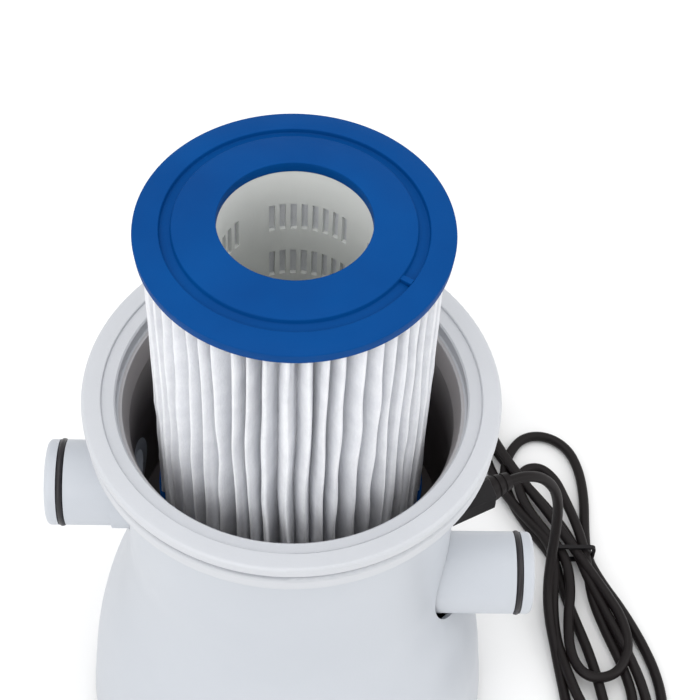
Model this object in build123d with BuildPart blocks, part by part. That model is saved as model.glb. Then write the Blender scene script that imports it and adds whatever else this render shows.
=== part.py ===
"""Cartridge filter pump for an above-ground pool, with its cartridge, wet-rotor motor and mains lead.

Millimetres, +Z up. The origin is on the floor, on the axis of the filter chamber.
The inlet stub points along -X and the outlet stub along +X.
"""
from build123d import *
from math import cos, pi, radians, sin, sqrt, tan
import os

# ---------------------------------------------------------------- driving sizes
moulding_gap = 0.3            # between neighbouring mouldings
bearing_clearance = 0.05      # radial, shaft in bush

# filter chamber
chamber_radius = 61.3         # inside, below the mouth
chamber_depth = 86.4          # floor to the top face of the lip
chamber_wall = 2.2
chamber_floor = 3.0           # thickness
throat_step = 2.0             # each ring of the opening is wider than the one below
mouth_step = 2.2
ledge_width = 5.5             # where the cover's seal sits
lip_width = 7.0
lip_thickness = 5.0
lip_rounding = 1.3
mouth_rounding = 0.5          # inner edges of the lip and the mouth
ledge_drop = 1.6              # lip top to the ledge
ledge_slope = 0.5
ledge_chamfer = 0.6
mouth_depth = 7.0
throat_depth = 16.0
throat_taper_start = 1.0
collar_inset = 0.8            # collar ring to the lip's edge
collar_groove = 3.0           # depth of the groove between the lip and the ring
collar_top = 8.3              # below the lip's top face
collar_bottom = 14.5
collar_wall = 3.2
collar_roof = 0.6

# hose stubs
stub_radius = 17.0
stub_wall = 3.5
inlet_reach = 96.2            # from the chamber's axis to the inlet stub's end
outlet_reach = 100.0          # the same for the outlet stub
stub_rounding = 1.8
inlet_rise = 9.5              # chamber floor to the inlet's bore
inlet_root_wall = 1.1         # root collar, outside the stub
inlet_root_reach = 4.8        # past the shroud's neck
outlet_roof = 1.0             # outlet stub to the chamber floor's underside
outlet_sump = 0.8             # volute floor below the outlet's bore
socket_depth = 36.0           # wider bore at the outlet's end
socket_step = 1.0             # from there to the duct behind it

# O-rings on the stubs
o_ring_section = 2.6
o_ring_squeeze = 0.5          # stands proud of the stub
o_ring_inset = 6.0            # stub's end to the ring's middle
o_ring_side_gap = 0.15

# shroud
shroud_wall = 2.0
shroud_foot = 89.5            # outer radius at the bottom edge
neck_rise = 0.4               # chamber floor's top to where the bell starts
bell_shape = [                # shares of the bell's widening and of its height
    (0.949, 0.123),
    (0.835, 0.301),
    (0.684, 0.4535),
    (0.473, 0.599),
    (0.219, 0.74),
    (0.05, 0.881),
]
inlet_hole_gap = 0.5
outlet_hole_gap = 1.9
outlet_hole_drop = 1.4

# base
foot_height = 3.0
foot_radius = 9.0
foot_chamfer = 0.8
foot_peg_radius = 3.0
foot_inset = 23.5             # shroud's edge to a foot's middle
base_flange = 2.5
base_spigot = 1.5
base_spigot_gap = 0.5
post_inset = 13.5             # shroud's edge to a screw post's middle
post_radius = 5.0
post_height = 17.0
post_cap = 2.0                # above the screw's hole
base_rib_height = 6.0
base_rib_width = 2.0
base_rib_inner = 18.0
screw_shank = 1.9
screw_head = 3.6
screw_head_height = 1.8
screw_head_inset = 0.2
screw_slot_depth = 1.0
screw_slot_width = 0.8
screw_slot_length = 3.4
screw_tip_gap = 1.0
screw_clearance = 0.3

# cartridge
cartridge_gap = 7.3           # round the cartridge, for the water
cartridge_length = 150.0
cap_thickness = 4.4
cap_hole = 26.1
cap_dome = 4.0                # the top cap's rise from its edge to its hole
cap_rounding = 0.9
cap_groove_inset = 8.9        # from the cap's edge
cap_groove_width = 4.2
cap_socket_lip = 4.6          # the top cap's hole above the core tube
bottom_cap_margin = 0.4       # past the pleats
cap_groove_depth = 1.4
media_margin = 2.4            # cap's edge to the pleats
core_margin = 0.4             # cap's hole to the core's inside
core_wall = 2.0
core_slot_rows = 5
core_slot_groups = 4          # round the tube
core_slots_per_group = 8
core_slot_pitch = 8.3         # degrees
core_slot_start = 49.5        # the first slot's azimuth
core_slot_width = 2.2
core_slot_height = 12.8
core_row_pitch = 24.0
core_row_top = 12.5           # core's top, without the socket, to the first row

# cartridge seat
seat_height = 25.3            # chamber floor to the shoulder
seat_gap = 0.3                # cartridge to the seat's shoulder
seat_shoulder_width = 8.5     # past the cap's hole
seat_shoulder_thickness = 2.6
spigot_slack = 1.5            # radial, in the cap's hole
spigot_wall = 2.8
spigot_rise = 11.0            # above the shoulder
spigot_chamfer = 1.2
suction_radius = 13.0
seat_plug_wall = 5.0
seat_rib_count = 6
seat_rib_width = 2.4
seat_base_thickness = 3.0

# pump casing
volute_radius = 34.0
volute_wall = 2.5
volute_floor = 4.0
volute_flange_width = 12.0
volute_flange = 5.0
tongue_gap = 7.5              # outlet's bore to the volute's outside
casing_seal_inset = 5.5       # flange's edge to the seal's middle
casing_seal_section = 2.4
casing_seal_depth = 1.9

# wet rotor
can_radius = 13.5             # inside
can_wall = 1.5
can_flange = 3.0
can_floor = 2.0
can_foot = 10.0               # can's bottom to the ring core
shaft_radius = 2.0
shaft_bottom_gap = 0.6
shaft_chamfer = 0.3
bush_radius = 5.0
bush_length = 6.0
bush_rise = 1.5               # upper bush above the bearing plate
bush_collar_wall = 2.2
bearing_plate_rim = 3.5       # past the can's bore
bearing_plate_thickness = 2.0
bearing_plate_hole = 1.6
bearing_plate_holes = 6
magnet_air_gap = 1.0
magnet_gap = 2.0              # to each bush
impeller_gap = 6.0            # to the volute's wall
impeller_disc = 2.0
impeller_lift = 1.6           # above the volute's floor
impeller_height = 19.0
impeller_hub = 6.0
vane_count = 6
vane_thickness = 1.8
vane_top_gap = 3.0            # below the hub's top
vane_tip_inset = 1.0
vane_lean = 48.0              # degrees from root to tip

# motor
core_height = 38.0
core_outer_radius = 36.0
core_ring = 5.0
pole_gap = 0.6
pole_shoe = 2.6
pole_shoe_spread = 2.1        # of the pole's width
pole_width = 8.0
pole_count = 4
bobbin_wall = 1.0
coil_thickness = 4.2
coil_gap = 0.2
coil_headroom = 9.7           # ring core to the can's flange
housing_wall = 2.0
housing_foot = 28.0           # housing's bottom to the ring core
housing_clearance = 8.6       # base ribs to the housing
clamp_gap = 6.0               # volute's flange to the clamp screws
clamp_start = 20.0            # first screw's azimuth
clamp_count = 4
clamp_ear_radius = 6.5
clamp_post_radius = 4.5
clamp_screw_reach = 20.0      # into the post
clamp_flange = 3.0

# mains lead
cord_diameter = 5.0
gland_azimuth = 28.0
gland_height = 90.0
gland_neck_wall = 1.3         # outside the boot's tip
gland_nut_width = 2.2         # outside the neck, at the flats
gland_nut_length = 25.0
gland_clip_width = 1.6
gland_clip_start = 7.0        # inside the shroud's outer face
gland_clip_end = 5.0
gland_edge = 0.6
boot_wall = 1.4               # at its tip
boot_taper = 2.3
boot_length = 11.0
boot_rings = 3
boot_ring_depth = 0.6
boot_ring_width = 1.2
cord_inset = 9.0              # the cord's start, inside the boot
lead_entry = 4.0              # past the motor housing's wall, both ways
hank_height = 12.5
tie_thickness = 1.3
tie_width = 2.0
tie_rounding = 2.4
tie_inner_rounding = 1.2
plug_length = 36.0
plug_width = 25.0
plug_height = 17.0
plug_neck_share = 0.35
plug_neck_width = 10.0
plug_neck_height = 9.0
plug_shoulder_inset = 1.0
plug_rounding = 5.0
pin_radius = 2.0
pin_length = 19.0
pin_pitch = 19.0
pin_root = 8.0                # inside the plug
pin_rounding = 0.8

# ---------------------------------------------------------------- heights, from the floor up
shroud_bottom = foot_height + base_flange
base_top = shroud_bottom + base_spigot
housing_bottom = base_top + base_rib_height + housing_clearance
core_bottom = housing_bottom + housing_foot
can_bottom = core_bottom - can_foot
can_flange_bottom = core_bottom + core_height + coil_headroom
housing_flange_bottom = can_flange_bottom - clamp_flange
volute_bottom = can_flange_bottom + can_flange
volute_cavity_bottom = volute_bottom + volute_floor
stub_bore = stub_radius - stub_wall
outlet_height = volute_cavity_bottom + outlet_sump + stub_bore
floor_underside = outlet_height + stub_radius + outlet_roof
chamber_floor_top = floor_underside + chamber_floor
inlet_height = chamber_floor_top + inlet_rise + stub_bore
rim_height = chamber_floor_top + chamber_depth
collar_underside = rim_height - collar_bottom
neck_bottom = chamber_floor_top + neck_rise
shoulder_top = chamber_floor_top + seat_height
cartridge_bottom = shoulder_top + seat_gap
cartridge_top = cartridge_bottom + cartridge_length
impeller_bottom = volute_cavity_bottom + impeller_lift
impeller_top = impeller_bottom + impeller_height
can_floor_top = can_bottom + can_floor
lower_bush_top = can_floor_top + bush_length
upper_bush_bottom = volute_bottom - bush_length + bush_rise

# ---------------------------------------------------------------- radii and reaches, from the same values
chamber_outer = chamber_radius + chamber_wall
throat_radius = chamber_radius + throat_step
mouth_radius = throat_radius + mouth_step
lip_inner_radius = mouth_radius + ledge_width
lip_radius = lip_inner_radius + lip_width
collar_radius = lip_radius - collar_inset
collar_neck_radius = lip_radius - collar_groove
shroud_neck = chamber_outer + moulding_gap + shroud_wall
inlet_root_radius = stub_radius + inlet_root_wall
inlet_root_end = shroud_neck + inlet_root_reach
stub_groove_radius = stub_radius + o_ring_squeeze - o_ring_section
groove_half = o_ring_section / 2 + o_ring_side_gap
outlet_groove_start = outlet_reach - o_ring_inset - groove_half
foot_circle = shroud_foot - foot_inset
post_circle = shroud_foot - post_inset
base_rib_outer = foot_circle - foot_radius - 1.0
cap_radius = chamber_radius - cartridge_gap
cap_groove_outer = cap_radius - cap_groove_inset
cap_groove_inner = cap_groove_outer - cap_groove_width
media_radius = cap_radius - media_margin
bottom_cap_radius = media_radius + bottom_cap_margin
cap_collar_top = cartridge_top + cap_dome
core_top = cap_collar_top - cap_socket_lip
core_inner = cap_hole + core_margin
spigot_radius = cap_hole - spigot_slack
seat_shoulder_radius = cap_hole + seat_shoulder_width
seat_plug_radius = suction_radius + seat_plug_wall
volute_flange_radius = volute_radius + volute_flange_width
casing_seal_circle = volute_flange_radius - casing_seal_inset
outlet_offset = volute_radius - stub_bore - tongue_gap
clamp_circle = volute_flange_radius + clamp_gap
can_flange_radius = volute_flange_radius - 2.0
bearing_plate_radius = can_radius + bearing_plate_rim
magnet_radius = can_radius - magnet_air_gap
impeller_radius = volute_radius - impeller_gap
pole_inner = can_radius + can_wall + pole_gap
pole_outer = pole_inner + pole_shoe
ring_inner = core_outer_radius - core_ring
pole_half = pole_width / 2
coil_half_width = pole_half + bobbin_wall + coil_thickness
coil_inner_face = pole_outer + coil_gap
coil_outer_face = sqrt(ring_inner**2 - coil_half_width**2) - coil_gap
boot_end = cord_diameter / 2 + boot_wall
boot_start = boot_end + boot_taper
gland_neck = boot_end + gland_neck_wall
gland_nut = gland_neck + gland_nut_width


def bell_points(inset):
    """Points on the bell from just above its foot to just below its neck."""
    widening = shroud_foot - shroud_neck
    height = neck_bottom - shroud_bottom
    return [
        (shroud_neck + widening * wide - inset, shroud_bottom + height * high)
        for wide, high in bell_shape
    ]


def bell_radius(height):
    """The bell's outer radius at a height."""
    with BuildLine(Plane.XZ) as outline:
        Spline(
            (shroud_foot, shroud_bottom),
            *bell_points(0),
            (shroud_neck, neck_bottom),
            tangents=[(0, 1), (0, 1)],
        )
    level = Axis((0, 0, height), (1, 0, 0))
    return outline.line.edge().intersect(level)[0].X


gland_wall_reach = bell_radius(gland_height)
nut_corner = gland_nut / cos(pi / 6)
nut_start = bell_radius(gland_height - nut_corner)
rib_end = bell_radius(base_top + post_height) - shroud_wall / 2


def at_radius(radius, azimuth, height=0.0):
    """A point on a circle round the chamber's axis."""
    return Vector(radius * cos(radians(azimuth)), radius * sin(radians(azimuth)), height)


def facing_x(reach, offset=0.0, height=0.0):
    """A sketch plane at x = reach whose normal is +X."""
    return Plane(origin=(reach, offset, height), x_dir=(0, 1, 0), z_dir=(1, 0, 0))


def radial_plane(distance):
    """A sketch plane across the gland's axis, with its normal pointing outwards."""
    return Plane(
        origin=at_radius(distance, gland_azimuth, gland_height),
        x_dir=(0, 0, 1),
        z_dir=at_radius(1.0, gland_azimuth),
    )


def clamp_places(circle=clamp_circle):
    """The places of the clamp screws."""
    return PolarLocations(circle, clamp_count, start_angle=clamp_start)


def post_places(circle=post_circle):
    """The places of the base screws, between the feet."""
    return PolarLocations(circle, 4, start_angle=45)


def finish(part, label):
    """Label a piece and write its file."""
    part.label = label
    export_step(part, f"parts/{label}.step")


os.makedirs("parts", exist_ok=True)


# ---------------------------------------------------------------- filter chamber
def make_chamber():
    with BuildPart() as chamber:
        with BuildSketch(Plane.XZ) as outside:
            with BuildLine():
                Polyline(
                    (0, rim_height),
                    (lip_radius, rim_height),
                    (lip_radius, rim_height - lip_thickness),
                    (collar_neck_radius, rim_height - lip_thickness),
                    (collar_neck_radius, rim_height - collar_top),
                    (collar_radius, rim_height - collar_top),
                    (collar_radius, collar_underside),
                    (chamber_outer, collar_underside),
                    (chamber_outer, floor_underside),
                    (0, floor_underside),
                    close=True,
                )
            make_face()
            outer_corners = outside.vertices().sort_by(Axis.X)[-4:]
            fillet(outer_corners, lip_rounding)
        revolve(axis=Axis.Z)

        # clamping posts under the floor
        with BuildSketch(Plane.XY.offset(can_flange_bottom)):
            with clamp_places():
                Circle(clamp_post_radius)
        extrude(amount=floor_underside - can_flange_bottom)

        # the hollow: mouth, throat and chamber
        with BuildSketch(Plane.XZ):
            with BuildLine():
                Polyline(
                    (0, chamber_floor_top),
                    (chamber_radius, chamber_floor_top),
                    (chamber_radius, rim_height - throat_depth),
                    (throat_radius, rim_height - mouth_depth - throat_taper_start),
                    (throat_radius, rim_height - mouth_depth),
                    (mouth_radius, rim_height - mouth_depth),
                    (mouth_radius, rim_height - ledge_drop - ledge_chamfer),
                    (mouth_radius + ledge_chamfer, rim_height - ledge_drop),
                    (lip_inner_radius - ledge_slope, rim_height - ledge_drop + ledge_slope),
                    (lip_inner_radius, rim_height + 1),
                    (0, rim_height + 1),
                    close=True,
                )
            make_face()
        revolve(axis=Axis.Z, mode=Mode.SUBTRACT)
        mouth_edges = chamber.edges().filter_by(GeomType.CIRCLE).filter_by(
            lambda edge: edge.center().Z > rim_height - 0.01
            or (edge.center().Z > rim_height - mouth_depth - 0.01 and edge.radius < throat_radius + 0.01)
        )
        fillet(mouth_edges.filter_by(lambda edge: edge.radius < lip_inner_radius + 1), mouth_rounding)

        # hollow under the collar ring, so that the wall stays even
        with BuildSketch(Plane.XY.offset(collar_underside)):
            Circle(collar_radius - collar_wall)
            Circle(shroud_neck + shroud_wall, mode=Mode.SUBTRACT)
        extrude(amount=collar_bottom - collar_top - collar_roof, mode=Mode.SUBTRACT)

        # seat for the inlet port, hole in the floor, screw holes
        with BuildSketch(facing_x(-inlet_reach, 0, inlet_height)):
            Circle(inlet_root_radius)
        extrude(amount=inlet_reach - stub_radius, mode=Mode.SUBTRACT)
        with BuildSketch(Plane.XY.offset(floor_underside)):
            Circle(seat_plug_radius)
        extrude(amount=chamber_floor, mode=Mode.SUBTRACT)
        with BuildSketch(Plane.XY.offset(can_flange_bottom)):
            with clamp_places():
                Circle(screw_shank)
        extrude(amount=clamp_screw_reach + screw_tip_gap, mode=Mode.SUBTRACT)
    finish(chamber.part, "filter_chamber")

    # the inlet port, welded into the wall and flush with it inside
    with BuildPart() as port:
        with BuildSketch(facing_x(-inlet_reach, 0, inlet_height)):
            Circle(stub_radius)
        extrude(amount=inlet_reach - stub_radius)
        fillet(port.faces().sort_by(Axis.X)[0].edges(), stub_rounding)
        with BuildSketch(facing_x(-inlet_root_end, 0, inlet_height)):
            Circle(inlet_root_radius)
        extrude(amount=inlet_root_end - stub_radius)
        with BuildSketch(Plane.XY.offset(chamber_floor_top)):
            Circle(chamber_radius)
        extrude(amount=chamber_depth, mode=Mode.SUBTRACT)
        with BuildSketch(facing_x(-inlet_reach, 0, inlet_height)):
            Circle(stub_bore)
        extrude(amount=inlet_reach, mode=Mode.SUBTRACT)
        with BuildSketch(facing_x(o_ring_inset - inlet_reach - groove_half, 0, inlet_height)):
            Circle(stub_radius + 1)
            Circle(stub_groove_radius, mode=Mode.SUBTRACT)
        extrude(amount=2 * groove_half, mode=Mode.SUBTRACT)
    finish(port.part, "inlet_port")


# ---------------------------------------------------------------- shroud
def bell_face(inset):
    """Half section of the bell, from its bottom edge to under the collar ring."""
    with BuildSketch(Plane.XZ) as half:
        with BuildLine():
            Line((0, shroud_bottom), (shroud_foot - inset, shroud_bottom))
            Spline(
                (shroud_foot - inset, shroud_bottom),
                *bell_points(inset),
                (shroud_neck - inset, neck_bottom),
                tangents=[(0, 1), (0, 1)],
            )
            Polyline(
                (shroud_neck - inset, neck_bottom),
                (shroud_neck - inset, collar_underside),
                (0, collar_underside),
                (0, shroud_bottom),
            )
        make_face()
    return half.sketch


def make_shroud():
    outside = bell_face(0)
    inside = bell_face(shroud_wall)
    with BuildPart() as shroud:
        add(outside)
        revolve(axis=Axis.Z)
        add(inside)
        revolve(axis=Axis.Z, mode=Mode.SUBTRACT)

        # screw posts, each held to the wall by a rib
        with BuildSketch(Plane.XY.offset(base_top)):
            with post_places():
                Circle(post_radius)
            with post_places((post_circle + rib_end) / 2):
                Rectangle(rib_end - post_circle, base_rib_width)
        extrude(amount=post_height)
        with BuildSketch(Plane.XY.offset(base_top)):
            with post_places():
                Circle(screw_shank)
        extrude(amount=post_height - post_cap, mode=Mode.SUBTRACT)

        # holes for the two stubs and the strain relief
        with BuildSketch(facing_x(-inlet_reach, 0, inlet_height)):
            Circle(inlet_root_radius + inlet_hole_gap)
        extrude(amount=inlet_reach - stub_radius, mode=Mode.SUBTRACT)
        with BuildSketch(facing_x(stub_radius, -outlet_offset, outlet_height - outlet_hole_drop)):
            Circle(stub_radius + outlet_hole_gap)
        extrude(amount=outlet_reach, mode=Mode.SUBTRACT)
        with BuildSketch(radial_plane(gland_wall_reach - gland_nut_length)):
            Circle(gland_neck)
        extrude(amount=2 * gland_nut_length, mode=Mode.SUBTRACT)
    finish(shroud.part, "outer_shroud")


# ---------------------------------------------------------------- base
def make_base():
    with BuildPart() as plate:
        with BuildSketch(Plane.XY.offset(foot_height)):
            Circle(shroud_foot)
        extrude(amount=base_flange)
        with BuildSketch(Plane.XY.offset(shroud_bottom)):
            Circle(shroud_foot - shroud_wall - base_spigot_gap)
        extrude(amount=base_spigot)
        rib_middle = (base_rib_inner + base_rib_outer) / 2
        with BuildSketch(Plane.XY.offset(base_top)):
            with PolarLocations(rib_middle, 8):
                Rectangle(base_rib_outer - base_rib_inner, base_rib_width)
            Circle(base_rib_inner + base_rib_width)
            Circle(base_rib_inner, mode=Mode.SUBTRACT)
        extrude(amount=base_rib_height)
        with BuildSketch(Plane.XY.offset(foot_height)):
            with PolarLocations(foot_circle, 4):
                Circle(foot_peg_radius)
            with post_places():
                Circle(screw_shank + screw_clearance)
        extrude(amount=base_flange + base_spigot, mode=Mode.SUBTRACT)
        with BuildSketch(Plane.XY.offset(foot_height)):
            with post_places():
                Circle(screw_head + screw_clearance)
        extrude(amount=screw_head_height, mode=Mode.SUBTRACT)
    finish(plate.part, "base_plate")

    with BuildPart() as feet:
        with BuildSketch(Plane.XY):
            with PolarLocations(foot_circle, 4):
                Circle(foot_radius)
        extrude(amount=foot_height)
        chamfer(feet.edges().group_by(Axis.Z)[0], foot_chamfer)
        with BuildSketch(Plane.XY.offset(foot_height)):
            with PolarLocations(foot_circle, 4):
                Circle(foot_peg_radius)
        extrude(amount=base_flange + base_spigot)
    finish(feet.part, "rubber_feet")

    head_bottom = foot_height + screw_head_inset
    head_top = foot_height + screw_head_height
    with BuildPart() as screws:
        with BuildSketch(Plane.XY.offset(head_bottom)):
            with post_places():
                Circle(screw_head)
        extrude(amount=head_top - head_bottom)
        with BuildSketch(Plane.XY.offset(head_bottom)):
            with post_places():
                Rectangle(screw_slot_length, screw_slot_width)
        extrude(amount=screw_slot_depth, mode=Mode.SUBTRACT)
        with BuildSketch(Plane.XY.offset(head_top)):
            with post_places():
                Circle(screw_shank)
        extrude(amount=base_top + post_height - post_cap - screw_tip_gap - head_top)
    finish(screws.part, "base_screws")


# ---------------------------------------------------------------- cartridge
def make_caps():
    groove_floor = cartridge_top - cap_groove_depth
    slope = cap_dome / (cap_radius - cap_hole)
    with BuildPart() as top:
        with BuildSketch(Plane.XZ) as half:
            with BuildLine():
                Polyline(
                    (cap_hole, cap_collar_top),
                    (cap_groove_inner, cartridge_top + slope * (cap_radius - cap_groove_inner)),
                    (cap_groove_inner, groove_floor + slope * (cap_radius - cap_groove_inner)),
                    (cap_groove_outer, groove_floor + slope * (cap_radius - cap_groove_outer)),
                    (cap_groove_outer, cartridge_top + slope * (cap_radius - cap_groove_outer)),
                    (cap_radius, cartridge_top),
                    (cap_radius, cartridge_top - cap_thickness),
                    (core_inner + core_wall, cartridge_top - cap_thickness),
                    (core_inner + core_wall, core_top),
                    (cap_hole, core_top),
                    close=True,
                )
            make_face()
            corners = half.vertices().filter_by(lambda corner: corner.X > cap_radius - 0.01)
            fillet(corners, cap_rounding)
        revolve(axis=Axis.Z)
    finish(top.part, "top_cap")

    with BuildPart() as bottom:
        with BuildSketch(Plane.XY.offset(cartridge_bottom)):
            Circle(bottom_cap_radius)
            Circle(cap_hole, mode=Mode.SUBTRACT)
        extrude(amount=cap_thickness)
        outer_rim = bottom.edges().filter_by(GeomType.CIRCLE).filter_by(
            lambda edge: abs(edge.radius - bottom_cap_radius) < 0.01
        )
        fillet(outer_rim, cap_rounding)
    finish(bottom.part, "bottom_cap")


def make_cartridge():
    media_length = cartridge_length - 2 * cap_thickness
    core_start = cartridge_bottom + cap_thickness
    group_step = 360 / core_slot_groups
    azimuths = [
        core_slot_start + group * group_step + slot * core_slot_pitch
        for group in range(core_slot_groups)
        for slot in range(core_slots_per_group)
    ]

    with BuildPart() as core:
        with BuildSketch(Plane.XY.offset(core_start)):
            Circle(core_inner + core_wall)
            Circle(core_inner, mode=Mode.SUBTRACT)
        extrude(amount=core_top - core_start)
        for row in range(core_slot_rows):
            slot_top = core_start + media_length - core_row_top - row * core_row_pitch
            with BuildSketch(Plane.XY.offset(slot_top - core_slot_height)):
                for azimuth in azimuths:
                    with Locations(Location(at_radius(core_inner + core_wall / 2, azimuth), azimuth)):
                        Rectangle(core_wall + 2, core_slot_width)
            extrude(amount=core_slot_height, mode=Mode.SUBTRACT)
    finish(core.part, "core_tube")

    with BuildPart() as media:
        with BuildSketch(Plane.XY.offset(core_start)):
            Circle(media_radius)
            Circle(core_inner + core_wall, mode=Mode.SUBTRACT)
        extrude(amount=media_length)
    finish(media.part, "pleated_media")


def make_seat():
    with BuildPart() as seat:
        with BuildSketch(Plane.XY.offset(floor_underside)):
            Circle(seat_plug_radius)
        extrude(amount=chamber_floor)
        with BuildSketch(Plane.XY.offset(chamber_floor_top)):
            Circle(seat_shoulder_radius)
        extrude(amount=seat_base_thickness)
        with BuildSketch(Plane.XY.offset(chamber_floor_top)):
            Circle(spigot_radius)
        extrude(amount=shoulder_top - chamber_floor_top + spigot_rise)
        chamfer(seat.faces().sort_by(Axis.Z)[-1].edges(), spigot_chamfer)
        with BuildSketch(Plane.XY.offset(shoulder_top - seat_shoulder_thickness)):
            Circle(seat_shoulder_radius)
        extrude(amount=seat_shoulder_thickness)
        with BuildSketch(Plane.XY.offset(chamber_floor_top)):
            with PolarLocations((spigot_radius + seat_shoulder_radius) / 2 - 1, seat_rib_count):
                Rectangle(seat_shoulder_radius - spigot_radius, seat_rib_width)
        extrude(amount=shoulder_top - chamber_floor_top)
        with BuildSketch(Plane.XY.offset(chamber_floor_top + seat_base_thickness)):
            Circle(spigot_radius - spigot_wall)
        extrude(amount=shoulder_top - chamber_floor_top + spigot_rise, mode=Mode.SUBTRACT)
        with BuildSketch(Plane.XY.offset(floor_underside)):
            Circle(suction_radius)
        extrude(amount=chamber_floor + seat_base_thickness, mode=Mode.SUBTRACT)
    finish(seat.part, "cartridge_seat")


# ---------------------------------------------------------------- pump casing
def make_volute():
    with BuildPart() as volute:
        with BuildSketch(Plane.XY.offset(volute_bottom)):
            Circle(volute_radius + volute_wall)
        extrude(amount=floor_underside - volute_bottom)
        with BuildSketch(Plane.XY.offset(floor_underside - volute_flange)):
            Circle(volute_flange_radius)
        extrude(amount=volute_flange)
        with BuildSketch(facing_x(0, -outlet_offset, outlet_height)):
            Circle(stub_radius)
        extrude(amount=outlet_reach)
        fillet(volute.faces().sort_by(Axis.X)[-1].edges(), stub_rounding)
        with BuildSketch(Plane.XY.offset(volute_cavity_bottom)):
            Circle(volute_radius)
        extrude(amount=floor_underside - volute_cavity_bottom, mode=Mode.SUBTRACT)
        with BuildSketch(facing_x(volute_radius / 3, -outlet_offset, outlet_height)):
            Circle(stub_bore - socket_step)
        extrude(amount=outlet_reach, mode=Mode.SUBTRACT)
        with BuildSketch(facing_x(outlet_reach - socket_depth, -outlet_offset, outlet_height)):
            Circle(stub_bore)
        extrude(amount=socket_depth, mode=Mode.SUBTRACT)
        with BuildSketch(facing_x(outlet_groove_start, -outlet_offset, outlet_height)):
            Circle(stub_radius + 1)
            Circle(stub_groove_radius, mode=Mode.SUBTRACT)
        extrude(amount=2 * groove_half, mode=Mode.SUBTRACT)
        with BuildSketch(Plane.XY.offset(volute_bottom)):
            Circle(can_radius)
        extrude(amount=volute_floor, mode=Mode.SUBTRACT)
        with BuildSketch(Plane.XY.offset(floor_underside - casing_seal_depth)):
            Circle(casing_seal_circle + casing_seal_section / 2)
            Circle(casing_seal_circle - casing_seal_section / 2, mode=Mode.SUBTRACT)
        extrude(amount=casing_seal_depth, mode=Mode.SUBTRACT)
    finish(volute.part, "volute_casing")


def make_seals():
    inlet_plane = facing_x(o_ring_inset - inlet_reach, 0, inlet_height)
    outlet_plane = facing_x(outlet_reach - o_ring_inset, -outlet_offset, outlet_height)
    ring_radius = stub_groove_radius + o_ring_section / 2
    for label, plane in (("inlet_o_ring", inlet_plane), ("outlet_o_ring", outlet_plane)):
        with BuildPart(plane) as ring:
            Torus(ring_radius, o_ring_section / 2)
        finish(ring.part, label)
    with BuildPart() as casing_seal:
        with BuildSketch(Plane.XY.offset(floor_underside - casing_seal_depth)):
            Circle(casing_seal_circle + casing_seal_section / 2)
            Circle(casing_seal_circle - casing_seal_section / 2, mode=Mode.SUBTRACT)
        extrude(amount=casing_seal_depth)
    finish(casing_seal.part, "casing_seal")


# ---------------------------------------------------------------- wet rotor
def make_rotor_can():
    with BuildPart() as can:
        with BuildSketch(Plane.XY.offset(can_flange_bottom)):
            Circle(can_flange_radius)
        extrude(amount=can_flange)
        with BuildSketch(Plane.XY.offset(can_bottom)):
            Circle(can_radius + can_wall)
        extrude(amount=can_flange_bottom - can_bottom)
        with BuildSketch(Plane.XY.offset(can_floor_top)):
            Circle(can_radius)
        extrude(amount=volute_bottom - can_floor_top, mode=Mode.SUBTRACT)
        with BuildSketch(Plane.XY.offset(volute_bottom - bearing_plate_thickness)):
            Circle(bearing_plate_radius)
        extrude(amount=bearing_plate_thickness, mode=Mode.SUBTRACT)
        with BuildSketch(Plane.XY.offset(can_floor_top)):
            Circle(bush_radius + bush_collar_wall)
            Circle(bush_radius, mode=Mode.SUBTRACT)
        extrude(amount=bush_length)
    finish(can.part, "rotor_can")

    with BuildPart() as plate:
        with BuildSketch(Plane.XY.offset(volute_bottom - bearing_plate_thickness)):
            Circle(bearing_plate_radius)
            Circle(bush_radius, mode=Mode.SUBTRACT)
            with PolarLocations((bush_radius + can_radius) / 2, bearing_plate_holes):
                Circle(bearing_plate_hole, mode=Mode.SUBTRACT)
        extrude(amount=bearing_plate_thickness)
    finish(plate.part, "bearing_plate")

    for label, bottom in (("lower_bush", can_floor_top), ("upper_bush", upper_bush_bottom)):
        with BuildPart() as bush:
            with BuildSketch(Plane.XY.offset(bottom)):
                Circle(bush_radius)
                Circle(shaft_radius + bearing_clearance, mode=Mode.SUBTRACT)
            extrude(amount=bush_length)
        finish(bush.part, label)


def make_rotor():
    with BuildPart() as shaft:
        with BuildSketch(Plane.XY.offset(can_floor_top + shaft_bottom_gap)):
            Circle(shaft_radius)
        extrude(amount=impeller_top - can_floor_top - shaft_bottom_gap)
        chamfer(shaft.edges(), shaft_chamfer)
    finish(shaft.part, "rotor_shaft")

    magnet_bottom = lower_bush_top + magnet_gap
    with BuildPart() as magnet:
        with BuildSketch(Plane.XY.offset(magnet_bottom)):
            Circle(magnet_radius)
            Circle(shaft_radius, mode=Mode.SUBTRACT)
        extrude(amount=upper_bush_bottom - magnet_gap - magnet_bottom)
    finish(magnet.part, "rotor_magnet")

    with BuildPart() as impeller:
        with BuildSketch(Plane.XY.offset(impeller_bottom)):
            Circle(impeller_radius)
        extrude(amount=impeller_disc)
        with BuildSketch(Plane.XY.offset(impeller_bottom)):
            Circle(impeller_hub)
        extrude(amount=impeller_height)
        with BuildSketch(Plane.XY.offset(impeller_bottom + impeller_disc)):
            with PolarLocations(0, vane_count):
                add(vane_outline())
        extrude(amount=impeller_height - impeller_disc - vane_top_gap)
        with BuildSketch(Plane.XY.offset(impeller_bottom)):
            Circle(shaft_radius)
        extrude(amount=impeller_height, mode=Mode.SUBTRACT)
    finish(impeller.part, "impeller")


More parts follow.
